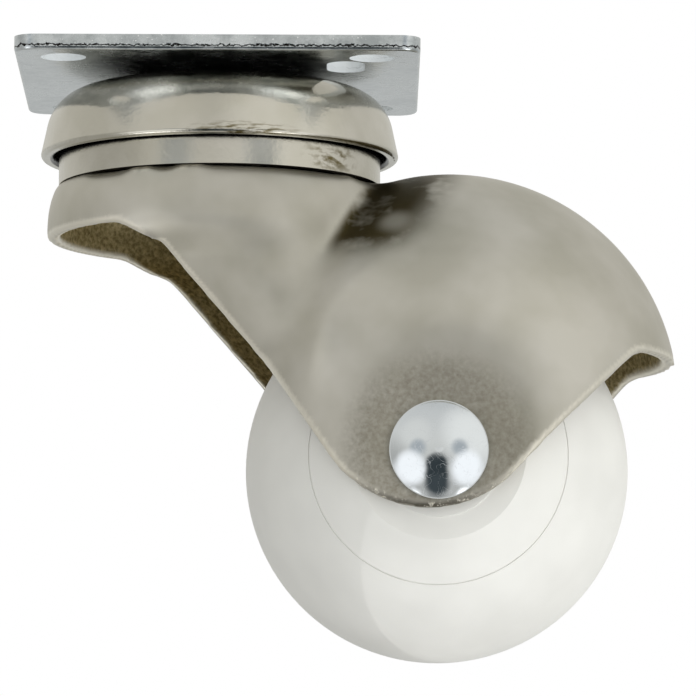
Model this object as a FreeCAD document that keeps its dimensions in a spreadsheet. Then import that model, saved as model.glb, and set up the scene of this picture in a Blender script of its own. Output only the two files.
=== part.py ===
import FreeCAD, Part
import Sketcher
import math
import os
import re

# Hooded ball castor on a square plate.
# Origin: centre of the plate's mounting face, on the swivel axis. +Z is up, the wheel trails towards +X.
# All lengths are millimetres and all angles degrees.

doc = FreeCAD.newDocument("castor")

# Driving dimensions
dimensions = {
    # top plate
    "hole_spacing_length": 32.0, "hole_spacing_width": 32.0, "hole_edge_length": 5.0,
    "hole_edge_width": 5.0, "mount_hole_diameter": 4.7, "plate_thickness": 1.6,
    "plate_corner_radius": 2.2, "plate_edge_round": 0.35, "slot_width": 4.0, "slot_length": 7.0,
    "slot_hole_gap_length": 2.7, "slot_hole_gap_width": 5.4, "slot_end_flat": 0.001,
    # upper race cup
    "cup_sheet": 1.3, "cup_crown_radius": 8.5, "cup_crown_bend": 5.0, "cup_shoulder_radius": 17.5,
    "cup_shoulder_drop": 1.55, "cup_shoulder_bend": 5.0, "cup_rim_radius": 18.95, "cup_depth": 8.3,
    "cup_rim_round": 0.45,
    # balls
    "ball_diameter": 4.0, "ball_play": 0.035, "ball_count": 12.0,
    # lower race
    "race_sheet": 1.3, "race_radius": 16.95, "race_height": 4.4, "race_shoulder_bend": 1.0,
    "race_web_radius": 11.3, "race_web_bend": 1.6, "race_foot_round": 0.2, "groove_ease": 0.1,
    "groove_angle": 35.0, "groove_lip_height": 0.47,
    # king pin and its washer
    "shank_diameter": 8.0, "spigot_diameter": 6.0, "pin_flare_diameter": 8.0, "pin_head_diameter": 13.0,
    "pin_head_height": 2.1, "pin_head_round": 0.5, "washer_diameter": 14.5, "washer_thickness": 0.85,
    "running_clearance": 0.05, "fixing_clearance": 0.02, "pin_end_play": 0.05,
    # horn: swivel head
    "horn_sheet": 1.4, "head_top_radius": 17.1, "head_radius": 18.15, "head_bulge_drop": 2.35,
    "head_bulge_bend": 10.0, "head_edge_round": 0.3, "hollow_bulge_ease": 5.0, "hollow_edge_ease": 0.3,
    "race_seat_clearance": 0.12,
    # horn: the neck's round stations, two measured from the head and four from the hood's centre
    "neck_top_drop": 4.85, "collar_drop": 0.9, "collar_shift": 0.1, "collar_narrowing": 0.04,
    "shoulder_drop": 2.9, "shoulder_shift": 1.7, "shoulder_narrowing": 1.3,
    "waist_rise": 11.4, "waist_back": 18.5, "waist_radius": 15.8,
    "throat_rise": 7.0, "throat_back": 13.6, "throat_widening": 0.2,
    "hip_rise": 2.4, "hip_back": 6.8, "hip_widening": 1.9,
    "root_fall": 0.6, "root_back": 2.0, "root_widening": 3.7,
    # horn: hood
    "hood_radius": 24.06, "hood_forward": 24.3, "hood_crown_rise": 1.27, "hood_side_clearance": 1.35,
    "hood_skirt_depth": 40.0, "hood_skirt_angle": 22.0,
    # horn: side outline
    "lip_drop": 5.75, "lip_run": 10.4, "lip_bend": 3.0, "step_start_run": 7.45, "step_start_drop": 1.55,
    "step_end_run": 5.6, "step_end_drop": 2.2, "step_bend": 0.6, "neck_foot_back": 19.65,
    "neck_foot_rise": 2.95, "tongue_point_back": 2.8, "tongue_point_drop": 13.3, "tongue_bend": 12.3,
    "brow_reach": 19.44, "brow_rise": 4.04, "brow_bend": 2.2, "cut_margin": 5.0,
    # axle seats and axle
    "trail": 23.0, "axle_drop": 30.15, "axle_diameter": 6.0, "axle_head_diameter": 10.2,
    "axle_head_rim": 0.45, "axle_rim_land": 0.1, "axle_dome_rise": 1.7, "seat_radius": 6.6,
    "seat_slope": 24.0, "seat_bend": 6.5,
    # wheel
    "wheel_diameter": 40.1, "hub_half_width": 18.1, "hub_radius": 6.7, "flat_step": 0.2,
    "wheel_side_clearance": 0.25, "ring_radius": 13.4, "ring_width": 0.4, "ring_depth": 0.15,
}

sheet = doc.addObject("Spreadsheet::Sheet", "Sizes")
for row, (alias, size) in enumerate(dimensions.items(), start=1):
    sheet.set(f"A{row}", alias)
    sheet.set(f"B{row}", str(size))
    sheet.setAlias(f"B{row}", alias)
doc.recompute()

# Places worked out from the driving dimensions
derived = {
    "plateLength": "hole_spacing_length + 2 * hole_edge_length",
    "plateWidth": "hole_spacing_width + 2 * hole_edge_width",
    "plateUnder": "-plate_thickness",
    "cupInside": "plateUnder - cup_sheet",
    "cupBottom": "plateUnder - cup_depth",
    "crownSlope": "atan(cup_shoulder_drop / (cup_shoulder_radius - cup_crown_radius)) / 1 deg",
    "wallFlare": "atan((cup_rim_radius - cup_shoulder_radius) / (cup_depth - cup_shoulder_drop)) / 1 deg",
    "shoulderReach": "1 / cos((90 - crownSlope - wallFlare) / 2)",
    "shoulderAim": "225 + (wallFlare - crownSlope) / 2",
    "insideShoulderRadius": "cup_shoulder_radius + cup_sheet * shoulderReach * cos(shoulderAim)",
    "insideShoulderLevel": "plateUnder - cup_shoulder_drop + cup_sheet * shoulderReach * sin(shoulderAim)",
    "ballGap": "cup_shoulder_bend - cup_sheet - ball_diameter / 2 - ball_play",
    "ballPitch": "cup_shoulder_radius + cup_shoulder_bend * shoulderReach * cos(shoulderAim)"
                 " + ballGap * cos(45)",
    "ballLevel": "plateUnder - cup_shoulder_drop + cup_shoulder_bend * shoulderReach * sin(shoulderAim)"
                 " + ballGap * sin(45)",
    "grooveBottom": "ballLevel - ball_diameter / 2 - ball_play",
    "grooveRadius": "ball_diameter / 2 + groove_ease",
    "groovePoint": "grooveBottom + grooveRadius - grooveRadius / cos(groove_angle)",
    "raceTop": "grooveBottom + groove_lip_height",
    "grooveHalfWidth": "(raceTop - groovePoint) / tan(groove_angle)",
    "roofLevel": "grooveBottom - race_height",
    "roofUnder": "roofLevel - horn_sheet",
    "washerTop": "roofUnder - pin_end_play",
    "pinHeadTop": "washerTop - washer_thickness",
    "headSlope": "atan((head_radius - head_top_radius) / head_bulge_drop) / 1 deg",
    "headTopPull": "tan(45 - headSlope / 2)",
    "headBulgePull": "tan(headSlope / 2)",
    "lipLevel": "roofLevel - lip_drop",
    "neckTop": "roofLevel - neck_top_drop",
    "hoodLevel": "roofLevel + hood_crown_rise - hood_radius",
    "hoodHalfWidth": "wheel_diameter / 2 + hood_side_clearance + horn_sheet",
    "axleLevel": "roofLevel - axle_drop",
    "seatLevel": "hub_half_width + wheel_side_clearance + horn_sheet",
    "domeEdge": "axle_head_diameter / 2 - axle_rim_land",
    "domeRadius": "(domeEdge ^ 2 + axle_dome_rise ^ 2) / (2 * axle_dome_rise)",
    "domeStart": "asin((domeRadius - axle_dome_rise) / domeRadius) / 1 deg",
}

places = doc.addObject("App::VarSet", "Places")


def bound(text):
    """Names of sizes and places in an expression, written with the object that holds them."""
    def owner(match):
        word = match.group(0)
        if word in dimensions:
            return "Sizes." + word
        if word in derived:
            return "Places." + word
        return word

    return re.sub(r"[A-Za-z_]\w*", owner, text)


for name, text in derived.items():
    places.addProperty("App::PropertyFloat", name)
    places.setExpression(name, bound(text))
doc.recompute()


def value(text):
    """The present value of an expression in millimetres."""
    result = sheet.evalExpression(bound(text))
    return float(getattr(result, "Value", result))


def bind(target, **properties):
    """Ties properties of an object to expressions; a double underscore stands for a dot."""
    for name, text in properties.items():
        target.setExpression(name.replace("__", "."), bound(text))


def newBody(label):
    body = doc.addObject("PartDesign::Body", label)
    body.Label = label
    return body


def plane(body, role):
    return next(item for item in body.Origin.OriginFeatures if item.Role == role)


def newSketch(body, role, name, offset=None):
    """A sketch on one of the body's own planes, moved off it by expressions for x, y and z."""
    sketch = body.newObject("Sketcher::SketchObject", name)
    sketch.AttachmentSupport = [(plane(body, role), "")]
    sketch.MapMode = "FlatFace"
    for axis, text in (offset or {}).items():
        sketch.setExpression(f"AttachmentOffset.Base.{axis}", bound(text))
    return sketch


def tie(sketch, kind, geometry, point, text):
    """A distance from the sketch origin to a point, held by an expression."""
    number = sketch.addConstraint(Sketcher.Constraint(kind, -1, 1, geometry, point, value(text)))
    sketch.setExpression(f"Constraints[{number}]", bound(text))


def tieRadius(sketch, geometry, text):
    number = sketch.addConstraint(Sketcher.Constraint("Radius", geometry, value(text)))
    sketch.setExpression(f"Constraints[{number}]", bound(text))


def addOutline(sketch, corners):
    """A closed outline through corners (x, y) or (x, y, bend radius), all given as expressions."""
    spots = [FreeCAD.Vector(value(corner[0]), value(corner[1]), 0) for corner in corners]
    count = len(corners)
    ends = []
    for index, corner in enumerate(corners):
        before = (spots[index - 1] - spots[index]).normalize()
        after = (spots[(index + 1) % count] - spots[index]).normalize()
        if len(corner) == 3:
            half = before.getAngle(after) / 2
            run = value(corner[2]) / math.tan(half)
            ends.append((spots[index] + before * run, spots[index] + after * run))
        else:
            ends.append((spots[index], spots[index]))
    lines = []
    for index in range(count):
        start, finish = ends[index][1], ends[(index + 1) % count][0]
        lines.append(sketch.addGeometry(Part.LineSegment(start, finish), False))
    for index, corner in enumerate(corners):
        incoming, outgoing = lines[index - 1], lines[index]
        if len(corner) == 2:
            sketch.addConstraint(Sketcher.Constraint("Coincident", incoming, 2, outgoing, 1))
            tie(sketch, "DistanceX", outgoing, 1, corner[0])
            tie(sketch, "DistanceY", outgoing, 1, corner[1])
            continue
        addBend(sketch, spots[index], ends[index], incoming, outgoing, corner)


def addBend(sketch, spot, ends, incoming, outgoing, corner):
    """An arc tangent to both lines of a corner, whose sharp point stays as a construction point."""
    radius = value(corner[2])
    before = (ends[0] - spot).normalize()
    after = (ends[1] - spot).normalize()
    half = before.getAngle(after) / 2
    inward = (before + after).normalize()
    centre = spot + inward * (radius / math.sin(half))
    middle = centre - inward * radius
    arc = sketch.addGeometry(Part.Arc(ends[0], middle, ends[1]), False)
    turnsLeft = (spot - ends[0]).cross(ends[1] - spot).z > 0
    arcStart, arcEnd = (1, 2) if turnsLeft else (2, 1)
    sketch.addConstraint(Sketcher.Constraint("Tangent", incoming, 2, arc, arcStart))
    sketch.addConstraint(Sketcher.Constraint("Tangent", outgoing, 1, arc, arcEnd))
    tieRadius(sketch, arc, corner[2])
    point = sketch.addGeometry(Part.Point(spot), True)
    sketch.addConstraint(Sketcher.Constraint("PointOnObject", point, 1, incoming))
    sketch.addConstraint(Sketcher.Constraint("PointOnObject", point, 1, outgoing))
    tie(sketch, "DistanceX", point, 1, corner[0])
    tie(sketch, "DistanceY", point, 1, corner[1])


def addCircle(sketch, x, y, radius):
    centre = FreeCAD.Vector(value(x), value(y), 0)
    circle = sketch.addGeometry(Part.Circle(centre, FreeCAD.Vector(0, 0, 1), value(radius)), False)
    tieRadius(sketch, circle, radius)
    for kind, text in (("DistanceX", x), ("DistanceY", y)):
        if text == "0":
            align = "PointOnObject"
            axis = -2 if kind == "DistanceX" else -1
            sketch.addConstraint(Sketcher.Constraint(align, circle, 3, axis))
        else:
            tie(sketch, kind, circle, 3, text)


def revolve(body, kind, sketch, name):
    """A full turn of a sketch about its own vertical axis."""
    feature = body.newObject(kind, name)
    feature.Profile = sketch
    feature.ReferenceAxis = (sketch, ["V_Axis"])
    feature.Angle = 360
    return feature


def turned(label, corners):
    """A body turned about Z from an outline of (radius, level) corners."""
    body = newBody(label)
    sketch = newSketch(body, "XZ_Plane", label + "_profile")
    addOutline(sketch, corners)
    revolve(body, "PartDesign::Revolution", sketch, label + "_turning")
    return body


def pad(body, sketch, name, length, midplane=False):
    feature = body.newObject("PartDesign::Pad", name)
    feature.Profile = sketch
    feature.Midplane = midplane
    bind(feature, Length=length)
    return feature


def roundEdges(body, base, name, radius, wanted):
    """A fillet on the edges of a feature that the given test picks out."""
    doc.recompute()
    edges = [f"Edge{number}" for number, edge in enumerate(base.Shape.Edges, start=1) if wanted(edge)]
    fillet = body.newObject("PartDesign::Fillet", name)
    fillet.Base = (base, edges)
    bind(fillet, Radius=radius)
    return fillet


def topPlate():
    body = newBody("top_plate")
    blank = newSketch(body, "XY_Plane", "plate_blank")
    halfLength, halfWidth = "plateLength / 2", "plateWidth / 2"
    bend = "plate_corner_radius"
    addOutline(blank, [
        (f"-{halfLength}", f"-{halfWidth}", bend), (halfLength, f"-{halfWidth}", bend),
        (halfLength, halfWidth, bend), (f"-{halfLength}", halfWidth, bend)])
    slab = pad(body, blank, "plate_slab", "plate_thickness")
    slab.Reversed = True
    under = value("plateUnder")
    roundEdges(body, slab, "plate_rolled_edge", "plate_edge_round",
               lambda edge: all(abs(vertex.Z - under) < 1e-6 for vertex in edge.Vertexes))

    holes = newSketch(body, "XY_Plane", "plate_holes")
    for sideX in ("", "-"):
        for sideY in ("", "-"):
            addCircle(holes, f"{sideX}hole_spacing_length / 2", f"{sideY}hole_spacing_width / 2",
                      "mount_hole_diameter / 2")
    addCircle(holes, "0", "0", "spigot_diameter / 2 + fixing_clearance")
    addSlot(holes)
    pocket = body.newObject("PartDesign::Pocket", "plate_piercing")
    pocket.Profile = holes
    pocket.Type = "ThroughAll"
    pocket.Midplane = True

    sink = newSketch(body, "XZ_Plane", "plate_rivet_sink")
    depth = "plateUnder / 2"
    addOutline(sink, [("0", "0"), ("pin_flare_diameter / 2 + fixing_clearance", "0"),
                      ("spigot_diameter / 2 + fixing_clearance", depth), ("0", depth)])
    revolve(body, "PartDesign::Groove", sink, "plate_countersink")
    return body


def addSlot(sketch):
    """The round-ended slot beside one corner hole, long way across the plate."""
    x = "hole_spacing_length / 2 - slot_hole_gap_length"
    half = "slot_width / 2"
    run = "(slot_length - slot_width) / 2"
    y = "-hole_spacing_width / 2 + slot_hole_gap_width"
    addOutline(sketch, [
        (f"{x} - {half}", f"{y} - {run} - {half}", f"{half} - slot_end_flat"),
        (f"{x} + {half}", f"{y} - {run} - {half}", f"{half} - slot_end_flat"),
        (f"{x} + {half}", f"{y} + {run} + {half}", f"{half} - slot_end_flat"),
        (f"{x} - {half}", f"{y} + {run} + {half}", f"{half} - slot_end_flat")])


def upperRaceCup():
    bore = "spigot_diameter / 2 + fixing_clearance"
    rimInside = "cup_rim_radius - cup_sheet / cos(wallFlare)"
    return turned("upper_race_cup", [
        (bore, "plateUnder"),
        ("cup_crown_radius", "plateUnder", "cup_crown_bend"),
        ("cup_shoulder_radius", "plateUnder - cup_shoulder_drop", "cup_shoulder_bend"),
        ("cup_rim_radius", "cupBottom", "cup_rim_round"),
        (rimInside, "cupBottom", "cup_rim_round"),
        ("insideShoulderRadius", "insideShoulderLevel", "cup_shoulder_bend - cup_sheet"),
        ("cup_crown_radius - cup_sheet * tan(crownSlope / 2)", "cupInside"),
        (bore, "cupInside")])


def lowerRace():
    bore = "shank_diameter / 2 + running_clearance"
    foot = "race_radius - race_sheet"
    webOutside = "race_web_radius + race_sheet"
    tray = "roofLevel + race_sheet"
    vaultLevel = "grooveBottom - race_sheet"
    return turned("lower_race", [
        (bore, tray),
        ("race_web_radius", tray, "race_web_bend - race_sheet"),
        ("race_web_radius", "raceTop", "race_web_bend / 2"),
        ("ballPitch - grooveHalfWidth", "raceTop"),
        ("ballPitch", "groovePoint", "grooveRadius"),
        ("ballPitch + grooveHalfWidth", "raceTop"),
        ("race_radius", "raceTop", "race_shoulder_bend"),
        ("race_radius", "roofLevel"),
        (foot, "roofLevel"),
        (foot, vaultLevel, "race_shoulder_bend / 2"),
        (webOutside, vaultLevel, "race_shoulder_bend / 2"),
        (webOutside, "roofLevel", "race_foot_round"),
        (bore, "roofLevel")])


def bearingBall(number, count):
    """One ball of the ring, set at its own share of the turn."""
    ball = doc.addObject("Part::Sphere", f"bearing_ball_{number:02d}")
    ball.Label = f"bearing_ball_{number:02d}"
    turn = f"360 * {number - 0.5} / ball_count"
    bind(ball, Radius="ball_diameter / 2", Placement__Base__x=f"ballPitch * cos({turn})",
         Placement__Base__y=f"ballPitch * sin({turn})", Placement__Base__z="ballLevel")
    return ball


def kingPin():
    """A shouldered rivet, spread into the plate's countersink at its top."""
    sinkDepth = "plateUnder / 2"
    return turned("king_pin", [
        ("0", "0"),
        ("pin_flare_diameter / 2", "0"),
        ("spigot_diameter / 2", sinkDepth),
        ("spigot_diameter / 2", "cupInside"),
        ("shank_diameter / 2", "cupInside"),
        ("shank_diameter / 2", "pinHeadTop"),
        ("pin_head_diameter / 2", "pinHeadTop", "pin_head_round / 2"),
        ("pin_head_diameter / 2", "pinHeadTop - pin_head_height", "pin_head_round"),
        ("0", "pinHeadTop - pin_head_height")])


def kingPinWasher():
    bore = "shank_diameter / 2 + running_clearance"
    edge = "washer_thickness / 4"
    return turned("king_pin_washer", [
        (bore, "washerTop"),
        ("washer_diameter / 2", "washerTop", edge),
        ("washer_diameter / 2", "pinHeadTop", edge),
        (bore, "pinHeadTop")])


def neckStations():
    """Level, centre and radius of the circles that the neck's tube runs through."""
    stations = [("neckTop", "0", "head_radius")]
    for name in ("collar", "shoulder"):
        stations.append((f"neckTop - {name}_drop", f"{name}_shift", f"head_radius - {name}_narrowing"))
    stations.append(("hoodLevel + waist_rise", "hood_forward - waist_back", "waist_radius"))
    for name in ("throat", "hip"):
        stations.append((f"hoodLevel + {name}_rise", f"hood_forward - {name}_back",
                         f"waist_radius + {name}_widening"))
    stations.append(("hoodLevel - root_fall", "hood_forward - root_back", "waist_radius + root_widening"))
    return stations


def hornForm(label, skin):
    """The pressing's outer form, or with a skin the hollow inside it: head, neck, hood and axle seats."""
    body = newBody(label)
    head = newSketch(body, "XZ_Plane", label + "_head_profile")
    addOutline(head, [
        ("0", f"roofLevel - {skin}"),
        (f"head_top_radius - {skin} * headTopPull", f"roofLevel - {skin}",
         f"head_edge_round + {skin} * hollow_edge_ease"),
        (f"head_radius - {skin}", f"roofLevel - head_bulge_drop - {skin} * headBulgePull",
         f"head_bulge_bend - {skin} * hollow_bulge_ease"),
        (f"head_radius - {skin}", "neckTop"),
        ("0", "neckTop")])
    revolve(body, "PartDesign::Revolution", head, label + "_head")

    rings = []
    for number, (level, centre, radius) in enumerate(neckStations()):
        ring = newSketch(body, "XY_Plane", f"{label}_neck_ring_{number}", {"z": level})
        addCircle(ring, centre, "0", f"{radius} - {skin}")
        rings.append(ring)
    neck = body.newObject("PartDesign::AdditiveLoft", label + "_neck")
    neck.Profile = rings[0]
    neck.Sections = rings[1:]

    for part, rise, low, high in (("dome", f"hood_radius - {skin}", "0", "90"),
                                  ("skirt", "hood_skirt_depth", "-hood_skirt_angle", "0")):
        bulge = body.newObject("PartDesign::AdditiveEllipsoid", f"{label}_{part}")
        bind(bulge, Angle1=low, Angle2=high, Radius1=rise, Radius2=f"hood_radius - {skin}",
             Radius3=f"hoodHalfWidth - {skin}", Placement__Base__x="hood_forward",
             Placement__Base__z="hoodLevel")
    cutSeats(body, label, skin)
    return body


def cutSeats(body, label, skin):
    """Flat round seats for the axle, sunk into both cheeks with a sloping wall and a soft bend."""
    seats = newSketch(body, "XY_Plane", label + "_seat_profile", {"x": "trail", "z": "axleLevel"})
    corner = f"seat_radius + ({skin}) * tan(seat_slope / 2)"
    floor = f"seatLevel - ({skin})"
    crown = "hoodHalfWidth + cut_margin"
    mouth = f"{corner} + ({crown} - {floor}) / tan(seat_slope)"
    for side in ("", "-"):
        addOutline(seats, [
            ("0", f"{side}({floor})"),
            (corner, f"{side}({floor})", f"seat_bend + {skin}"),
            (mouth, f"{side}({crown})"),
            ("0", f"{side}({crown})")])
    revolve(body, "PartDesign::Groove", seats, label + "_seats")


def sideTrim():
    """Everything under the pressing's cut edge: throat, tongues and brow, as seen from the side."""
    body = newBody("side_trim")
    outline = newSketch(body, "XZ_Plane", "trim_outline")
    far = "hood_forward + hood_radius + cut_margin"
    back = "-head_radius - cut_margin"
    deep = "axleLevel - tongue_point_drop - cut_margin"
    addOutline(outline, [
        (back, "lipLevel"),
        ("-lip_run", "lipLevel", "lip_bend"),
        ("-step_start_run", "lipLevel - step_start_drop", "step_bend"),
        ("-step_end_run", "lipLevel - step_end_drop", "step_bend"),
        ("hood_forward - neck_foot_back", "hoodLevel + neck_foot_rise"),
        ("trail - tongue_point_back", "axleLevel - tongue_point_drop", "tongue_bend"),
        ("hood_forward + brow_reach", "hoodLevel + brow_rise", "brow_bend"),
        (far, "hoodLevel + brow_rise"),
        (far, deep),
        (back, deep)])
    pad(body, outline, "trim_block", "2 * (hoodHalfWidth + cut_margin)", midplane=True)
    return body


def boring(name, radius, length, base, alongY=False):
    """A plain cylinder that clears a hole."""
    cutter = doc.addObject("Part::Cylinder", name)
    if alongY:
        cutter.Placement = FreeCAD.Placement(FreeCAD.Vector(), FreeCAD.Rotation(FreeCAD.Vector(1, 0, 0), -90))
    bind(cutter, Radius=radius, Height=length, Placement__Base__x=base[0],
         Placement__Base__y=base[1], Placement__Base__z=base[2])
    return cutter


def horn():
    """The one-piece pressed hooded horn: outer form less its hollow, trimmed and pierced."""
    outer = hornForm("horn_outer", "0")
    inner = hornForm("horn_inner", "horn_sheet")
    shell = doc.addObject("Part::Cut", "horn_shell")
    shell.Base = outer
    shell.Tool = inner
    cutters = doc.addObject("Part::MultiFuse", "horn_cutters")
    cutters.Shapes = [
        sideTrim(),
        boring("race_seat", "race_radius + race_seat_clearance", "hood_crown_rise + cut_margin",
               ("0", "0", "roofLevel")),
        boring("king_bore", "shank_diameter / 2 + running_clearance", "2 * horn_sheet",
               ("0", "0", "roofLevel - 1.5 * horn_sheet")),
        boring("axle_bore", "axle_diameter / 2 + fixing_clearance", "2 * (hoodHalfWidth + cut_margin)",
               ("trail", "-hoodHalfWidth - cut_margin", "axleLevel"), alongY=True)]
    piece = doc.addObject("Part::Cut", "horn")
    piece.Label = "horn"
    piece.Base = shell
    piece.Tool = cutters
    return piece


def onAxle(body):
    """Lays a body that was made about Z onto the axle line, its +Z towards -Y."""
    body.Placement = FreeCAD.Placement(FreeCAD.Vector(), FreeCAD.Rotation(FreeCAD.Vector(1, 0, 0), 90))
    bind(body, Placement__Base__x="trail", Placement__Base__z="axleLevel")
    return body


def axleRivet():
    """The axle: a shank through both cheeks with a domed head at each end."""
    body = turned("axle_rivet", [
        ("0", "-seatLevel - axle_head_rim"),
        ("axle_head_diameter / 2", "-seatLevel - axle_head_rim"),
        ("axle_head_diameter / 2", "-seatLevel"),
        ("axle_diameter / 2", "-seatLevel"),
        ("axle_diameter / 2", "seatLevel"),
        ("axle_head_diameter / 2", "seatLevel"),
        ("axle_head_diameter / 2", "seatLevel + axle_head_rim"),
        ("0", "seatLevel + axle_head_rim")])
    for side, sign, low, high in (("near", "", "domeStart", "90"), ("far", "-", "-90", "-domeStart")):
        dome = body.newObject("PartDesign::AdditiveSphere", f"axle_dome_{side}")
        bind(dome, Angle1=low, Angle2=high, Radius="domeRadius",
             Placement__Base__z=f"{sign}(seatLevel + axle_head_rim + axle_dome_rise - domeRadius)")
    return onAxle(body)


def wheel():
    """One moulded ball, faced off at both hubs, with a fine ring groove on each side."""
    body = newBody("wheel")
    ball = body.newObject("PartDesign::AdditiveSphere", "wheel_ball")
    bind(ball, Radius="wheel_diameter / 2")

    facing = newSketch(body, "XZ_Plane", "hub_facing")
    beyond = "wheel_diameter / 2 + cut_margin"
    flat = "hub_half_width - flat_step"
    for side in ("", "-"):
        addOutline(facing, [
            ("0", f"{side}hub_half_width"), ("hub_radius", f"{side}hub_half_width"),
            ("hub_radius", f"{side}({flat})"), (beyond, f"{side}({flat})"),
            (beyond, f"{side}({beyond})"), ("0", f"{side}({beyond})")])
    revolve(body, "PartDesign::Groove", facing, "hub_face")

    surface = "sqrt((wheel_diameter / 2) ^ 2 - ring_radius ^ 2)"
    ring = newSketch(body, "XZ_Plane", "ring_groove_profile")
    for side in ("", "-"):
        addOutline(ring, [
            ("ring_radius - ring_width / 2", f"{side}({surface} + ring_width)"),
            ("ring_radius", f"{side}({surface} - ring_depth)"),
            ("ring_radius + ring_width / 2", f"{side}({surface} + ring_width)")])
    revolve(body, "PartDesign::Groove", ring, "ring_groove")

    bore = newSketch(body, "XY_Plane", "wheel_bore_circle")
    addCircle(bore, "0", "0", "axle_diameter / 2 + running_clearance")
    bored = body.newObject("PartDesign::Pocket", "wheel_bore")
    bored.Profile = bore
    bored.Type = "ThroughAll"
    bored.Midplane = True
    return onAxle(body)


ballCount = int(dimensions["ball_count"])
subparts = [topPlate(), upperRaceCup(), kingPin(), kingPinWasher(), lowerRace(), horn(), axleRivet(), wheel()]
subparts += [bearingBall(number, ballCount) for number in range(1, ballCount + 1)]
doc.recompute()

# Nothing is written unless every object and every solid is sound
for item in doc.Objects:
    if "Invalid" in item.State or "Error" in item.State:
        raise RuntimeError(f"{item.Label} did not build: {item.State}")
for piece in subparts:
    if piece.Shape.isNull() or not piece.Shape.isValid() or len(piece.Shape.Solids) != 1:
        raise RuntimeError(f"{piece.Label} is not one sound solid")

os.makedirs("parts", exist_ok=True)
for piece in subparts:
    piece.Shape.exportStep(f"parts/{piece.Label}.step")
    box = piece.Shape.BoundBox
    print(f"{piece.Label}: {piece.Shape.Volume:.1f} mm3, z {box.ZMin:.2f} to {box.ZMax:.2f}")
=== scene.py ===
import math
import bmesh
import bpy
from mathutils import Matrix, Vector, kdtree


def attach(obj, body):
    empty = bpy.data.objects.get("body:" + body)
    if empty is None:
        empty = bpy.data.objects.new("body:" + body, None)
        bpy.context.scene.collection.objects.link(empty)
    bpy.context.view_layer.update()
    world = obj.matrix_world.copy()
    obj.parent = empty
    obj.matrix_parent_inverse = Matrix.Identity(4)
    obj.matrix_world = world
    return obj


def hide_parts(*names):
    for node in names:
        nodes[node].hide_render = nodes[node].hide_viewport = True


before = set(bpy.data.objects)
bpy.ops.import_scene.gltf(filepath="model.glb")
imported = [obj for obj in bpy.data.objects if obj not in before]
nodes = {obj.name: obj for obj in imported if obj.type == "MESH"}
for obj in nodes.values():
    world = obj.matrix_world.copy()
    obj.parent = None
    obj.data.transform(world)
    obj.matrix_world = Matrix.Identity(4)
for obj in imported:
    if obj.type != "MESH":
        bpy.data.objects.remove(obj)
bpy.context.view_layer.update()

mm = 0.001


# Colours, nodes and materials

def srgb(hexText):
    # "#C8C2B4" to the linear RGBA that sockets hold
    parts = [int(hexText[i:i + 2], 16) / 255 for i in (1, 3, 5)]
    linear = [p / 12.92 if p <= 0.04045 else ((p + 0.055) / 1.055) ** 2.4 for p in parts]
    return (*linear, 1.0)


def setSocket(socket, setting):
    socket.default_value = srgb(setting) if isinstance(setting, str) else setting


def addNode(tree, kind, settings=None, links=None):
    # settings with a small first letter are the node's own properties, the others are fixed values
    # of its input sockets; links lead other nodes' outputs to its inputs. Gives the node's outputs.
    node = tree.nodes.new("ShaderNode" + kind)
    for name, setting in (settings or {}).items():
        if name == "stops":
            elements = node.color_ramp.elements
            while len(elements) < len(setting):
                elements.new(0.5)
            for element, (position, colour) in zip(elements, setting):
                element.position = position
                element.color = srgb(colour)
        elif isinstance(name, str) and name[0].islower():
            setattr(node, name, setting)
        else:
            setSocket(node.inputs[name], setting)
    for name, source in (links or {}).items():
        tree.links.new(source, node.inputs[name])
    return node.outputs


def newMaterial(name, fixed):
    # the shader's fixed values sit on its own sockets
    material = bpy.data.materials.new(name)
    material.use_nodes = True
    shader = material.node_tree.nodes["Principled BSDF"]
    for socket, setting in fixed.items():
        setSocket(shader.inputs[socket], setting)
    return material, material.node_tree


def plug(material, sources):
    # leads each source to the shader's socket of that name
    tree = material.node_tree
    for socket, source in sources.items():
        tree.links.new(source, tree.nodes["Principled BSDF"].inputs[socket])
    return material


# Bright nickel electroplated over drawn mild steel. To the eye it is a warm grey mirror that clouds
# a little, with a fine orange peel where drawing stretched the sheet. The peel's real grain of about
# 0.1 mm is too fine to show, so it is drawn at 0.5 mm.

nickel = {
    "clouds": {"Scale": 1 / (9.0 * mm), "Detail": 3.0},
    "plating": {"stops": ((0.35, "#C0BDB1"), (0.65, "#D2CFC6"))}, "peelDepthMm": 0.055,
}

raceCups = {
    "peel": {"Scale": 1 / (0.5 * mm), "Detail": 2.0}, "flatterPeel": 1 / 3,
    "sheen": {"From Min": 0.3, "From Max": 0.7, "To Min": 0.16, "To Max": 0.27},
    # grease and painted shade, nearly black, on what faces the axis and, on the lower race, above a
    # level in the gap under the cup
    "greaseAndShade": "#1D1B16", "facingAxis": {"From Min": -0.15, "From Max": -0.4},
    "shadeLevelMm": {"upper_race_cup": 5.0, "lower_race": -10.0}, "shadeEdgeMm": 0.1,
    # brown streaks outside, in millimetres: gone at their reach from the centre, whole in the
    # core, and so many times flatter than long
    "smear": "#6A603F", "streaks": {"Scale": 1 / (1.6 * mm), "Detail": 4.0},
    "streakEdge": {"From Min": 0.46, "From Max": 0.62}, "smearCore": 1 / 3,
    "smears": {
        "upper_race_cup": {"centre": (2.8, -18.5, -9.6), "reach": 7.0, "flatter": 6.0},
        "lower_race": {"centre": (12.0, -12.0, -11.3), "reach": 4.5, "flatter": 2.0},
    },
}


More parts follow.
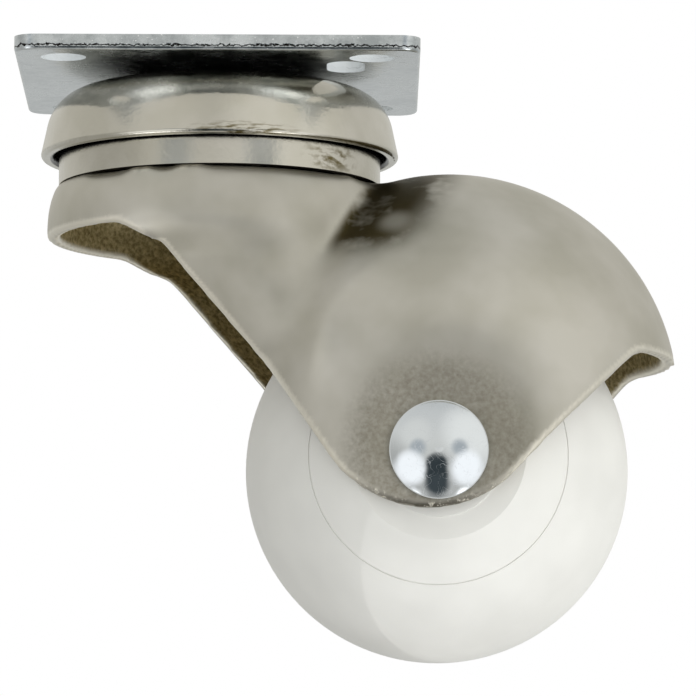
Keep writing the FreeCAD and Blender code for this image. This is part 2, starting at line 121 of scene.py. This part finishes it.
def nickelPlatedCup(piece):
    s, smear = raceCups, raceCups["smears"][piece]
    material, tree = newMaterial("nickelPlated_" + piece, {"Metallic": 1.0})
    coords = addNode(tree, "TexCoord")
    place = coords["Object"]
    clouds = addNode(tree, "TexNoise", nickel["clouds"], {"Vector": place})["Fac"]
    colour = addNode(tree, "ValToRGB", nickel["plating"], {"Fac": clouds})["Color"]

    centre = tuple(part * mm for part in smear["centre"])
    offset = addNode(tree, "VectorMath", {"operation": "SUBTRACT", 1: centre}, {0: place})["Vector"]
    squash = {"operation": "MULTIPLY", 1: (1.0, 1.0, smear["flatter"])}
    offset = addNode(tree, "VectorMath", squash, {0: offset})["Vector"]
    away = addNode(tree, "VectorMath", {"operation": "LENGTH"}, {0: offset})["Value"]
    reach = smear["reach"] * mm
    fading = {"From Min": reach, "From Max": reach * s["smearCore"]}
    near = addNode(tree, "MapRange", fading, {"Value": away})["Result"]
    streaks = addNode(tree, "TexNoise", s["streaks"], {"Vector": offset})["Fac"]
    streaks = addNode(tree, "MapRange", s["streakEdge"], {"Value": streaks})["Result"]
    smeared = addNode(tree, "Math", {"operation": "MULTIPLY"}, {0: near, 1: streaks})["Value"]
    browned = {"data_type": "RGBA", 7: s["smear"]}
    colour = addNode(tree, "Mix", browned, {0: smeared, 6: colour})[2]

    # painted shade: the faces toward the axis and the lower race's top in the gap under the cup are
    # darkened nearly black for the shade there, with some grease
    start, edge = s["shadeLevelMm"][piece] * mm, s["shadeEdgeMm"] * mm
    level = addNode(tree, "SeparateXYZ", None, {"Vector": place})["Z"]
    rising = {"From Min": start - edge, "From Max": start + edge}
    above = addNode(tree, "MapRange", rising, {"Value": level})["Result"]
    flatten = {"operation": "MULTIPLY", 1: (1.0, 1.0, 0.0)}
    radial = addNode(tree, "VectorMath", flatten, {0: place})["Vector"]
    radial = addNode(tree, "VectorMath", {"operation": "NORMALIZE"}, {0: radial})["Vector"]
    turned = {0: radial, 1: coords["Normal"]}
    turned = addNode(tree, "VectorMath", {"operation": "DOT_PRODUCT"}, turned)["Value"]
    within = addNode(tree, "MapRange", s["facingAxis"], {"Value": turned})["Result"]
    greasyAndShaded = addNode(tree, "Math", {"operation": "MAXIMUM"}, {0: above, 1: within})["Value"]
    gapShaded = {"data_type": "RGBA", 7: s["greaseAndShade"]}
    colour = addNode(tree, "Mix", gapShaded, {0: greasyAndShaded, 6: colour})[2]

    sheen = addNode(tree, "MapRange", s["sheen"], {"Value": clouds})["Result"]
    peel = addNode(tree, "TexNoise", s["peel"], {"Vector": place})["Fac"]
    depth = {"Distance": nickel["peelDepthMm"] * mm * s["flatterPeel"]}
    relief = addNode(tree, "Bump", depth, {"Height": peel})["Normal"]
    return plug(material, {"Base Color": colour, "Roughness": sheen, "Normal": relief})


# The same plating on the pressed horn, satin from the press. Its mesh carries marks for the places
# that differ: innerSkin on the hollow side, thinly plated and browned by oil, seatDrawn and
# seatMatt round the axle seats, where the sheet stretched most (seatMatt on the neck too), the first
# also drawn darker as painted shade in the dish, shearedRim, a painted highlight, and
# tornRim, torn metal with a painted dark reflection, along the cut edge, and foldOil
# beside the fold, a painted dark reflection with a painted lighter spot.

pressedSkin = {
    "marks": ("innerSkin", "seatDrawn", "seatMatt", "shearedRim", "tornRim", "foldOil"),
    "peel": {"Scale": 1 / (0.5 * mm), "Detail": 2.0, "Roughness": 0.6},
    "peelShare": {"From Min": 0.35, "From Max": 0.75, "To Min": 0.03, "To Max": 0.12},
    "sheen": {"From Min": 0.3, "From Max": 0.7, "To Min": 0.42, "To Max": 0.5},
    # the seat tone darkens the peel in the axle seats' dish: painted shade in the recess, over the
    # stretched sheet
    "seat": "#8E8879", "seatRough": 0.62,
    # the brown tone on the next line is painted shade beside the fold, a dark reflection broken into
    # patches
    "paintedShade": "#51482E", "smears": {"Scale": 1 / (3.5 * mm), "Detail": 3.0, "Roughness": 0.5},
    "shadeEdge": {"From Min": 0.76, "From Max": 0.5},
    "hollow": {"stops": ((0.35, "#8B7E57"), (0.65, "#CDBE93"))}, "hollowRough": 0.5,
    "hollowMetal": {"To Min": 1.0, "To Max": 0.4},
    # the near-white tone on the next line is a painted highlight along the sheared rim; the torn
    # tone is torn metal, also a painted dark reflection of the gap it faces
    "sheared": "#F0ECE0", "torn": "#3A3426", "tornEdge": {"From Min": 0.66, "From Max": 0.54},
    "grains": {"Scale": 1 / (0.45 * mm), "Detail": 4.0, "Roughness": 0.7},
}


def nickelPlatedPressing():
    s = pressedSkin
    material, tree = newMaterial("nickelPlatedPressing", {})
    place = addNode(tree, "TexCoord")["Object"]
    marks = {name: addNode(tree, "Attribute", {"attribute_name": name})["Fac"]
             for name in s["marks"]}
    clouds = addNode(tree, "TexNoise", nickel["clouds"], {"Vector": place})["Fac"]
    peel = addNode(tree, "TexNoise", s["peel"], {"Vector": place})["Fac"]
    colour = addNode(tree, "ValToRGB", nickel["plating"], {"Fac": clouds})["Color"]

    # painted shade: the peel round the axle seats is darkened for the shade in the dish
    stretched = {0: marks["seatDrawn"], 1: peel}
    stretched = addNode(tree, "Math", {"operation": "MULTIPLY"}, stretched)["Value"]
    seatShade = {"data_type": "RGBA", 7: s["seat"]}
    colour = addNode(tree, "Mix", seatShade, {0: stretched, 6: colour})[2]

    # painted shade: beside the fold the hood is darkened brown in broken patches, standing for a
    # dark reflection there, with a painted lighter spot
    smears = addNode(tree, "TexNoise", s["smears"], {"Vector": place})["Fac"]
    smears = addNode(tree, "MapRange", s["shadeEdge"], {"Value": smears})["Result"]
    shaded = {0: marks["foldOil"], 1: smears}
    shaded = addNode(tree, "Math", {"operation": "MULTIPLY"}, shaded)["Value"]
    browned = {"data_type": "RGBA", 7: s["paintedShade"]}
    colour = addNode(tree, "Mix", browned, {0: shaded, 6: colour})[2]

    dull = addNode(tree, "ValToRGB", s["hollow"], {"Fac": peel})["Color"]
    hollow = {0: marks["innerSkin"], 6: colour, 7: dull}
    colour = addNode(tree, "Mix", {"data_type": "RGBA"}, hollow)[2]

    # painted highlight: the sheared rim is drawn near white for the highlight along the rounded cut
    # edge, over the burnished shear
    rimHighlight = {"data_type": "RGBA", 7: s["sheared"]}
    colour = addNode(tree, "Mix", rimHighlight, {0: marks["shearedRim"], 6: colour})[2]
    # torn metal on the tongue's lower rim, drawn nearly black: partly the torn steel, partly a
    # painted dark reflection of the gap under the tongue
    grains = addNode(tree, "TexNoise", s["grains"], {"Vector": place})["Fac"]
    ragged = addNode(tree, "MapRange", s["tornEdge"], {"Value": grains})["Result"]
    ragged = {0: ragged, 1: marks["tornRim"]}
    ragged = addNode(tree, "Math", {"operation": "MULTIPLY"}, ragged)["Value"]
    blackened = {"data_type": "RGBA", 7: s["torn"]}
    colour = addNode(tree, "Mix", blackened, {0: ragged, 6: colour})[2]

    sheen = addNode(tree, "MapRange", s["sheen"], {"Value": clouds})["Result"]
    sheen = addNode(tree, "Mix", {3: s["seatRough"]}, {0: marks["seatMatt"], 2: sheen})[0]
    sheen = addNode(tree, "Mix", {3: s["hollowRough"]}, {0: marks["innerSkin"], 2: sheen})[0]
    metal = addNode(tree, "MapRange", s["hollowMetal"], {"Value": marks["innerSkin"]})["Result"]

    share = addNode(tree, "MapRange", s["peelShare"], {"Value": clouds})["Result"]
    for name in ("innerSkin", "seatDrawn"):
        share = addNode(tree, "Math", {"operation": "MAXIMUM"}, {0: share, 1: marks[name]})["Value"]
    height = addNode(tree, "Math", {"operation": "MULTIPLY"}, {0: peel, 1: share})["Value"]
    depth = {"Distance": nickel["peelDepthMm"] * mm}
    relief = addNode(tree, "Bump", depth, {"Height": height})["Normal"]
    return plug(material, {"Base Color": colour, "Metallic": metal, "Roughness": sheen,
                           "Normal": relief})


# Bright zinc electroplated over blanked plate: a satin, slightly blue grey, cloudy and full of fine
# bright and dark specks. Two thirds down the blanked edge the metal tore, in a ragged dark line, and
# the walls of the punched holes are burnished pale.

zinc = {
    "clouds": {"Scale": 1 / (3.5 * mm), "Detail": 5.0, "Roughness": 0.65},
    "plating": {"stops": ((0.38, "#AEB4B7"), (0.6, "#DADFE2"))},
    "sheen": {"From Min": 0.35, "From Max": 0.65, "To Min": 0.14, "To Max": 0.3},
    "grain": {"Scale": 1 / (0.6 * mm), "Detail": 4.0, "Roughness": 0.6}, "grainDepthMm": 0.025,
    "cells": {"Scale": 1 / (0.4 * mm)}, "speckEdge": {"From Min": 0.2, "From Max": 0.12},
    "speck": "#F2F5F6", "speckWhere": {"From Min": 0.5, "From Max": 0.56},
    "pit": "#5B5F61", "pitWhere": {"From Min": 0.4, "From Max": 0.34},
    "torn": "#1E1E1C", "tornLevel": -1.12 * mm,
    "tornEdge": {"From Min": 0.11 * mm, "From Max": 0.055 * mm},
    "tornWander": {"From Min": 0.3, "From Max": 0.7, "To Min": -0.2 * mm, "To Max": 0.2 * mm},
    "wall": "#E6EBEE", "wallMetal": {"To Min": 1.0, "To Max": 0.2},
    "sideways": {"From Min": 0.6, "From Max": 0.3}, "holesWithin": 20.0 * mm,
}


def zincPlatedPlate(name):
    s = zinc
    material, tree = newMaterial(name, {"Metallic": 1.0})
    coords = addNode(tree, "TexCoord")
    place = coords["Object"]
    clouds = addNode(tree, "TexNoise", s["clouds"], {"Vector": place})["Fac"]
    grain = addNode(tree, "TexNoise", s["grain"], {"Vector": place})["Fac"]
    colour = addNode(tree, "ValToRGB", s["plating"], {"Fac": clouds})["Color"]
    cells = addNode(tree, "TexVoronoi", s["cells"], {"Vector": place})["Distance"]
    specks = addNode(tree, "MapRange", s["speckEdge"], {"Value": cells})["Result"]
    for tone, where in (("speck", "speckWhere"), ("pit", "pitWhere")):
        some = addNode(tree, "MapRange", s[where], {"Value": grain})["Result"]
        some = addNode(tree, "Math", {"operation": "MULTIPLY"}, {0: specks, 1: some})["Value"]
        tinted = {"data_type": "RGBA", 7: s[tone]}
        colour = addNode(tree, "Mix", tinted, {0: some, 6: colour})[2]

    parts = addNode(tree, "SeparateXYZ", None, {"Vector": place})
    wander = addNode(tree, "MapRange", s["tornWander"], {"Value": grain})["Result"]
    level = addNode(tree, "Math", {"operation": "ADD"}, {0: parts["Z"], 1: wander})["Value"]
    fromTear = {"operation": "SUBTRACT", 1: s["tornLevel"]}
    away = addNode(tree, "Math", fromTear, {0: level})["Value"]
    away = addNode(tree, "Math", {"operation": "ABSOLUTE"}, {0: away})["Value"]
    torn = addNode(tree, "MapRange", s["tornEdge"], {"Value": away})["Result"]
    blackened = {"data_type": "RGBA", 7: s["torn"]}
    colour = addNode(tree, "Mix", blackened, {0: torn, 6: colour})[2]

    # the walls of the holes face sideways and lie inside the plate's own edge
    facing = addNode(tree, "SeparateXYZ", None, {"Vector": coords["Normal"]})["Z"]
    facing = addNode(tree, "Math", {"operation": "ABSOLUTE"}, {0: facing})["Value"]
    sideways = addNode(tree, "MapRange", s["sideways"], {"Value": facing})["Result"]
    reaches = [addNode(tree, "Math", {"operation": "ABSOLUTE"}, {0: parts[axis]})["Value"]
               for axis in "XY"]
    reach = {0: reaches[0], 1: reaches[1]}
    reach = addNode(tree, "Math", {"operation": "MAXIMUM"}, reach)["Value"]
    inward = {"operation": "LESS_THAN", 1: s["holesWithin"]}
    inside = addNode(tree, "Math", inward, {0: reach})["Value"]
    wall = addNode(tree, "Math", {"operation": "MULTIPLY"}, {0: sideways, 1: inside})["Value"]
    burnished = {"data_type": "RGBA", 7: s["wall"]}
    colour = addNode(tree, "Mix", burnished, {0: wall, 6: colour})[2]
    metal = addNode(tree, "MapRange", s["wallMetal"], {"Value": wall})["Result"]

    sheen = addNode(tree, "MapRange", s["sheen"], {"Value": clouds})["Result"]
    height = addNode(tree, "Math", {"operation": "SUBTRACT"}, {0: grain, 1: torn})["Value"]
    depth = {"Distance": s["grainDepthMm"] * mm}
    relief = addNode(tree, "Bump", depth, {"Height": height})["Normal"]
    return plug(material, {"Base Color": colour, "Metallic": metal, "Roughness": sheen,
                           "Normal": relief})


# Bright zinc on an upset steel rivet, tumbled until it is nearly a mirror: cool, with curling hair
# scratches. Real ones are a few microns wide, so they are drawn at about a tenth of a millimetre.

rivetZinc = {
    "colour": "#DFE4E8",
    "curls": {"Scale": 1 / (2.4 * mm), "Detail": 1.5, "Distortion": 1.8}, "curlLine": 0.5,
    "scratchEdge": {"From Min": 0.006, "From Max": 0.002}, "scratchRough": 0.28,
    "scratchDepthMm": 0.0008,
    "waves": {"Scale": 1 / (1.6 * mm), "Detail": 2.0}, "waveDepthMm": 0.004,
    "scuffs": {"From Min": 0.45, "From Max": 0.7, "To Min": 0.06, "To Max": 0.16},
}


def tumbledZincRivet():
    s = rivetZinc
    fixed = {"Metallic": 1.0, "Base Color": s["colour"]}
    material, tree = newMaterial("tumbledZincRivet", fixed)
    place = addNode(tree, "TexCoord")["Object"]
    curls = addNode(tree, "TexNoise", s["curls"], {"Vector": place})["Fac"]
    waves = addNode(tree, "TexNoise", s["waves"], {"Vector": place})["Fac"]
    # a scratch runs where the curls pass their middle value
    fromMiddle = {"operation": "SUBTRACT", 1: s["curlLine"]}
    aside = addNode(tree, "Math", fromMiddle, {0: curls})["Value"]
    aside = addNode(tree, "Math", {"operation": "ABSOLUTE"}, {0: aside})["Value"]
    scratch = addNode(tree, "MapRange", s["scratchEdge"], {"Value": aside})["Result"]
    sheen = addNode(tree, "MapRange", s["scuffs"], {"Value": waves})["Result"]
    sheen = addNode(tree, "Mix", {3: s["scratchRough"]}, {0: scratch, 2: sheen})[0]
    dents = addNode(tree, "Bump", {"Distance": s["waveDepthMm"] * mm}, {"Height": waves})["Normal"]
    cut = {"Distance": s["scratchDepthMm"] * mm, "invert": True}
    relief = addNode(tree, "Bump", cut, {"Height": scratch, "Normal": dents})["Normal"]
    return plug(material, {"Roughness": sheen, "Normal": relief})


# Moulded nylon: matt white, a little milky, with faint flow clouds and a fine mould grain.

nylon = {
    "fixed": {"IOR": 1.53, "Subsurface Weight": 0.2, "Subsurface Scale": 1.5 * mm,
              "Subsurface Radius": (1.0, 1.0, 1.0)},
    "flow": {"Scale": 1 / (12.0 * mm), "Detail": 3.0},
    "whites": {"stops": ((0.35, "#E7E7E3"), (0.65, "#F0F0EC"))},
    "sheen": {"From Min": 0.3, "From Max": 0.7, "To Min": 0.42, "To Max": 0.55},
    "grain": {"Scale": 1 / (0.5 * mm), "Detail": 2.0}, "grainDepthMm": 0.006,
}


def mouldedWhiteNylon():
    s = nylon
    material, tree = newMaterial("mouldedWhiteNylon", s["fixed"])
    place = addNode(tree, "TexCoord")["Object"]
    flow = addNode(tree, "TexNoise", s["flow"], {"Vector": place})["Fac"]
    grain = addNode(tree, "TexNoise", s["grain"], {"Vector": place})["Fac"]
    colour = addNode(tree, "ValToRGB", s["whites"], {"Fac": flow})["Color"]
    sheen = addNode(tree, "MapRange", s["sheen"], {"Value": flow})["Result"]
    depth = {"Distance": s["grainDepthMm"] * mm}
    relief = addNode(tree, "Bump", depth, {"Height": grain})["Normal"]
    return plug(material, {"Base Color": colour, "Roughness": sheen, "Normal": relief})


# Hardened bearing steel, ground and lapped, under a film of grease that dulls it in clouds.

bearing = {
    "film": {"Scale": 1 / (1.5 * mm), "Detail": 2.0},
    "tones": {"stops": ((0.45, "#C0C1C3"), (0.65, "#8C8468"))},
    "sheen": {"From Min": 0.4, "From Max": 0.7, "To Min": 0.08, "To Max": 0.3},
}


def lappedBearingSteel():
    s = bearing
    material, tree = newMaterial("lappedBearingSteel", {"Metallic": 1.0})
    place = addNode(tree, "TexCoord")["Object"]
    film = addNode(tree, "TexNoise", s["film"], {"Vector": place})["Fac"]
    colour = addNode(tree, "ValToRGB", s["tones"], {"Fac": film})["Color"]
    sheen = addNode(tree, "MapRange", s["sheen"], {"Value": film})["Result"]
    return plug(material, {"Base Color": colour, "Roughness": sheen})


rivetFinish, ballFinish = tumbledZincRivet(), lappedBearingSteel()
dressing = {
    "top_plate": zincPlatedPlate("zincPlatedPlate"),
    "upper_race_cup": nickelPlatedCup("upper_race_cup"),
    "lower_race": nickelPlatedCup("lower_race"),
    "horn": nickelPlatedPressing(),
    "king_pin": rivetFinish,
    "king_pin_washer": zincPlatedPlate("zincPlatedWasher"),
    "axle_rivet": rivetFinish,
    "wheel": mouldedWhiteNylon(),
}
for name, node in nodes.items():
    node.data.materials.clear()
    node.data.materials.append(dressing.get(name, ballFinish))
print("CAD pieces dressed")


# The horn as it leaves the press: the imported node's own walls, with the fold between neck and hood
# and the mouths of the axle seats drawn soft, as sheet bends, the sides of the neck drawn straighter
# and the cut edges eased. Lengths and places are in millimetres. A pair of lengths is where an
# effect starts to change and where the change is over; a centre of two numbers is a line along Y.

pressing = {
    "merge": 0.001, "voxel": 0.375, "smoothFactor": 0.5,
    "rounds": {"ease": 9, "fold": 90, "seat": 160},
    # degrees between faces at a soft bend and at a cut edge, and how far a cut face leans along Y
    "bendAngle": 12, "cutAngle": 33, "cutTilt": 0.05, "roofKeep": -13.2, "boreKeep": 8.5,
    "edgeKeep": (0.4, 2.4), "foldReach": (1.2, 4.0),
    "seatCentre": (23.0, -42.91), "seatFlat": (5.3, 6.6), "seatReach": (11.5, 16.0),
    "waistCentre": (8.0, -26.0), "waistReach": (2.0, 13.0), "waistWiden": 0.1,
    "cheeks": (18.0, 21.5),
    # marks for the material: innerTurn is the cosine between a face and the way out, hoodSkin a
    # share of the hood's radius, and lighterShare the share of the painted shade beside the fold
    # that is gone at the painted lighter spot
    "rim": (0.35, 0.8), "tornLevel": (-50.0, -44.0),
    "headCentre": (0.0, 0.0, -22.0), "hoodCentre": (24.3, 0.0, -35.55), "hoodReach": 25.5,
    "innerTurn": (-0.5, -0.2),
    "seatDrawn": (7.5, 11.5), "seatMatt": (10.0, 16.0),
    "neckCentre": (3.5, -22.5), "neckMatt": (6.0, 12.5),
    "hoodRadii": (24.06, 22.85, 24.06), "hoodSkin": (0.02, 0.06),
    "shadeReach": (5.5, 10.5), "shadeLow": (-23.0, -20.0),
    "lighterSpot": (18.3, 15.4, -18.1), "lighterReach": (0.6, 2.6), "lighterShare": 0.6,
}


def activate(piece):
    bpy.ops.object.select_all(action="DESELECT")
    piece.select_set(True)
    bpy.context.view_layer.objects.active = piece


def applyModifier(piece, kind, name, **settings):
    activate(piece)
    modifier = piece.modifiers.new(name, kind)
    for setting, amount in settings.items():
        setattr(modifier, setting, amount)
    bpy.ops.object.modifier_apply(modifier=modifier.name)


def bendLines(mesh):
    # points along the edges where skins meet at a bend, and along the sheet's cut edges, whose
    # faces were cut straight across and so don't lean along Y
    s = pressing
    bends, cuts = [], []
    work = bmesh.new()
    work.from_mesh(mesh)
    for edge in work.edges:
        if len(edge.link_faces) != 2:
            continue
        angle = math.degrees(edge.calc_face_angle(0.0))
        ends = [vertex.co.copy() for vertex in edge.verts]
        middle = (ends[0] + ends[1]) / 2
        sheared = min(abs(face.normal.y) for face in edge.link_faces) < s["cutTilt"]
        if angle >= s["cutAngle"] and edge.is_convex and sheared:
            cuts += [*ends, middle]
        elif angle > s["bendAngle"] and middle.z < s["roofKeep"] * mm:
            bends += [*ends, middle]
    work.free()
    return bends, cuts


def nearTree(points):
    tree = kdtree.KDTree(len(points))
    for index, point in enumerate(points):
        tree.insert(point, index)
    tree.balance()
    return tree


def rise(amount, limits):
    # 0 up to the first limit, 1 from the second, eased between
    low, high = limits
    t = min(max((amount - low) / (high - low), 0.0), 1.0)
    return t * t * (3 - 2 * t)


def fade(amount, limits):
    return 1 - rise(amount, limits)


def fromLine(point, centre):
    # distance from a line along Y, in millimetres
    return math.hypot(point.x / mm - centre[0], point.z / mm - centre[1])


def straightenNeck(piece):
    # between head and cheeks the sheet runs straight down instead of drawing in
    s = pressing
    for vertex in piece.data.vertices:
        away = fromLine(vertex.co, s["waistCentre"])
        share = fade(away, s["waistReach"]) * fade(abs(vertex.co.y) / mm, s["cheeks"])
        vertex.co.y *= 1 + s["waistWiden"] * share


def mark(piece, name, amounts):
    # one number for each vertex, which the material reads
    attribute = piece.data.attributes.new(name, "FLOAT", "POINT")
    attribute.data.foreach_set("value", amounts)


def weighSmoothing(piece, bends, cuts):
    # how far each place may be smoothed: everywhere a little, along the bends and seat mouths a lot
    s = pressing
    bendTree, cutTree = nearTree(bends), nearTree(cuts)
    groups = {name: piece.vertex_groups.new(name=name) for name in s["rounds"]}
    rim, torn = [], []
    for vertex in piece.data.vertices:
        point = vertex.co
        fromCut = cutTree.find(point)[2] / mm
        # the sheared rim mark: a painted highlight along the cut edges
        rim.append(fade(fromCut, s["rim"]))
        # the torn rim mark: torn metal low on the tongue, with a painted dark reflection of the gap
        torn.append(rim[-1] * fade(point.z / mm, s["tornLevel"]))
        if math.hypot(point.x, point.y) / mm < s["boreKeep"]:
            continue
        keep = rise(fromCut, s["edgeKeep"])
        near = bendTree.find(point)[2] / mm
        reach = fromLine(point, s["seatCentre"])
        weights = {
            "ease": 1.0, "fold": fade(near, s["foldReach"]) * keep,
            "seat": fade(reach, s["seatReach"]) * rise(reach, s["seatFlat"]) * keep,
        }
        for name, weight in weights.items():
            groups[name].add([vertex.index], weight, "REPLACE")
    mark(piece, "shearedRim", rim)
    mark(piece, "tornRim", torn)


def markSkins(piece, bends):
    s = pressing
    bendTree = nearTree(bends)
    hood, head = Vector(s["hoodCentre"]) * mm, Vector(s["headCentre"]) * mm
    inner, drawn, matt, shaded = [], [], [], []
    for vertex in piece.data.vertices:
        point = vertex.co
        away = point - hood
        inHood = away.length < s["hoodReach"] * mm
        outward = (away if inHood else point - head).normalized()
        inner.append(fade(vertex.normal.dot(outward), s["innerTurn"]))
        fromSeat = fromLine(point, s["seatCentre"])
        # the seat mark: stretched sheet, which the material also darkens as painted shade in the
        # dish
        drawn.append(fade(fromSeat, s["seatDrawn"]))
        fromNeck = fromLine(point, s["neckCentre"])
        matt.append(max(fade(fromSeat, s["seatMatt"]), fade(fromNeck, s["neckMatt"])))
        # painted shade beside the fold, on the hood's outer skin above a height, with a painted
        # lighter spot in it
        radius = math.hypot(*(part / mm / size for part, size in zip(away, s["hoodRadii"])))
        beside = fade(bendTree.find(point)[2] / mm, s["shadeReach"])
        paintedShade = fade(abs(radius - 1), s["hoodSkin"]) * beside * rise(point.z / mm, s["shadeLow"])
        nearSide = Vector((point.x, abs(point.y), point.z)) / mm
        fromSpot = (nearSide - Vector(s["lighterSpot"])).length
        shaded.append(paintedShade * (1 - s["lighterShare"] * fade(fromSpot, s["lighterReach"])))
    mark(piece, "innerSkin", inner)
    mark(piece, "seatDrawn", drawn)
    mark(piece, "seatMatt", matt)
    mark(piece, "foldOil", shaded)


def pressedHorn():
    s = pressing
    piece = bpy.data.objects.new("pressed_horn", nodes["horn"].data.copy())
    bpy.context.scene.collection.objects.link(piece)
    activate(piece)
    bpy.ops.object.mode_set(mode="EDIT")
    bpy.ops.mesh.select_all(action="SELECT")
    bpy.ops.mesh.remove_doubles(threshold=s["merge"] * mm)
    bpy.ops.object.mode_set(mode="OBJECT")
    bends, cuts = bendLines(piece.data)
    applyModifier(piece, "REMESH", "voxels", mode="VOXEL", voxel_size=s["voxel"] * mm,
                  use_smooth_shade=True)
    weighSmoothing(piece, bends, cuts)
    for group, rounds in s["rounds"].items():
        applyModifier(piece, "SMOOTH", group, factor=s["smoothFactor"], iterations=rounds,
                      vertex_group=group)
    straightenNeck(piece)
    markSkins(piece, bends)
    piece.data.materials.clear()
    piece.data.materials.append(dressing["horn"])
    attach(piece, "horn")
    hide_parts("horn")
    return piece


horn = pressedHorn()
print("horn drawn:", len(horn.data.polygons), "faces")


# Camera, fitted to the photograph; lengths in millimetres, turns in radians

cameraSettings = {
    "targetX": 13.63, "targetZ": -29.775, "distance": 827.1, "lookUp": 0.133, "roll": 0.004,
    "focalPixels": 7858.0, "framePixels": 696.0, "sensor": 36.0,
}


def placeCamera():
    s = cameraSettings
    data = bpy.data.cameras.new("camera")
    data.sensor_fit = "HORIZONTAL"
    data.sensor_width = s["sensor"]
    data.lens = s["sensor"] * s["focalPixels"] / s["framePixels"]
    camera = bpy.data.objects.new("camera", data)
    bpy.context.scene.collection.objects.link(camera)
    sight = Vector((0, math.cos(s["lookUp"]), math.sin(s["lookUp"])))
    camera.location = (Vector((s["targetX"], 0, s["targetZ"])) - sight * s["distance"]) * mm
    camera.rotation_euler = (math.pi / 2 + s["lookUp"], 0, 0)
    camera.rotation_euler.rotate_axis("Z", s["roll"])
    bpy.context.scene.camera = camera


placeCamera()


# A white studio, with a pale floor far below the castor. The bright parts mirror the room, so it is
# drawn by direction: walls by height, from straight down to straight up, in front and behind, and
# soft round patches laid over them.

studio = {
    "floorLevel": -0.85, "floorSize": 8.0, "floor": {"Base Color": "#F4F4F2", "Roughness": 0.8},
    "seen": "#FFFFFF",
    "front": {"stops": (
        (0.0, "#C4C3BF"), (0.25, "#CBCAC6"), (0.42, "#D3D2CE"), (0.5, "#D9D8D3"),
        (0.63, "#E1E0DB"), (0.75, "#E0DFDB"), (0.93, "#D9D9D6"), (1.0, "#CFD0CE"))},
    "back": {"stops": (
        (0.0, "#B8B7B2"), (0.25, "#B8B7B2"), (0.43, "#D0D2D1"), (0.5, "#D0D0CC"),
        (0.63, "#DEDDD8"), (0.85, "#DAD9D4"), (1.0, "#CFD0CE"))},
    "turn": {"From Min": -0.3, "From Max": 0.6},
    # compass turn from the camera (right is plus), height, half width and soft rim in degrees,
    # colour and strength
    "patches": (
        (50, 24, 24, 26, "#FBFAF5", 1.0),
        (-38, 28, 12, 16, "#E8E7E2", 1.0),
        (-85, -25, 32, 26, "#BAB9B5", 1.0),
        (-31, 7, 7, 9, "#B6BBBE", 1.0),
        (31, 7, 7, 9, "#B6BBBE", 1.0),
        (-44, -20, 19, 10, "#FFFFFF", 1.2),
        (45, -20, 19, 10, "#FFFFFF", 1.2),
        (-64, -57, 7, 7, "#FFFFFF", 3.0),
        (66, -55, 8, 7, "#FFFFFF", 3.5),
        (-3, -17, 14, 5, "#3A4144", 1.0),
        (-3, -33, 14, 6, "#3A4144", 1.0),
        (-3, -48, 13, 8, "#454C4F", 1.0),
    ),
}


def addFloor():
    s = studio
    bpy.ops.object.select_all(action="DESELECT")
    bpy.ops.mesh.primitive_plane_add(size=s["floorSize"], location=(0, 0, s["floorLevel"]))
    floor = bpy.context.object
    floor.name = "floor"
    floor.visible_glossy = False
    floor.visible_diffuse = False
    material, _ = newMaterial("paleFloor", s["floor"])
    floor.data.materials.append(material)


def addWorld():
    # the camera itself sees plain white behind the castor
    s = studio
    world = bpy.data.worlds.new("studio")
    bpy.context.scene.world = world
    world.use_nodes = True
    tree = world.node_tree
    tree.nodes.clear()
    way = addNode(tree, "TexCoord")["Generated"]
    axes = addNode(tree, "SeparateXYZ", None, {"Vector": way})
    upward = {"From Min": -1.0, "From Max": 1.0}
    height = addNode(tree, "MapRange", upward, {"Value": axes["Z"]})["Result"]
    front = addNode(tree, "ValToRGB", s["front"], {"Fac": height})["Color"]
    back = addNode(tree, "ValToRGB", s["back"], {"Fac": height})["Color"]
    turn = addNode(tree, "MapRange", s["turn"], {"Value": axes["Y"]})["Result"]
    room = addNode(tree, "Mix", {"data_type": "RGBA"}, {0: turn, 6: front, 7: back})[2]
    for turned, raised, half, rim, colour, strength in s["patches"]:
        turned, raised = math.radians(turned), math.radians(raised)
        flat = math.cos(raised)
        aim = (math.sin(turned) * flat, -math.cos(turned) * flat, math.sin(raised))
        near = {"operation": "DOT_PRODUCT", 1: aim}
        near = addNode(tree, "VectorMath", near, {0: way})["Value"]
        # the patch is whole up to half a rim inside its width, and gone a rim outside it
        edge = {"interpolation_type": "SMOOTHSTEP", "From Min": math.cos(math.radians(half + rim)),
                "From Max": math.cos(math.radians(half - rim / 2))}
        patch = addNode(tree, "MapRange", edge, {"Value": near})["Result"]
        shade = (*(part * strength for part in srgb(colour)[:3]), 1.0)
        room = addNode(tree, "Mix", {"data_type": "RGBA", 7: shade}, {0: patch, 6: room})[2]
    direct = addNode(tree, "LightPath")["Is Camera Ray"]
    sight = {"data_type": "RGBA", 7: s["seen"]}
    sight = addNode(tree, "Mix", sight, {0: direct, 6: room})[2]
    glow = addNode(tree, "Background", None, {"Color": sight})["Background"]
    addNode(tree, "OutputWorld", None, {"Surface": glow})


# One wide soft lamp low on the right lifts the shaded side of the wheel; the metal doesn't mirror
# it. Places are in metres.

softLamp = {"at": (0.45, -0.48, -0.42), "aim": (0.02, 0.0, -0.04), "size": 0.6, "watts": 2.2}


def addSoftLamp():
    s = softLamp
    data = bpy.data.lights.new("softLamp", "AREA")
    data.size = s["size"]
    data.energy = s["watts"]
    lamp = bpy.data.objects.new("softLamp", data)
    bpy.context.scene.collection.objects.link(lamp)
    lamp.location = s["at"]
    sight = Vector(s["aim"]) - Vector(s["at"])
    lamp.rotation_euler = sight.to_track_quat("-Z", "Y").to_euler()
    lamp.visible_glossy = False
    lamp.visible_camera = False


addFloor()
addWorld()
addSoftLamp()
bpy.context.scene.view_settings.view_transform = "Standard"
print("camera, floor and light set")
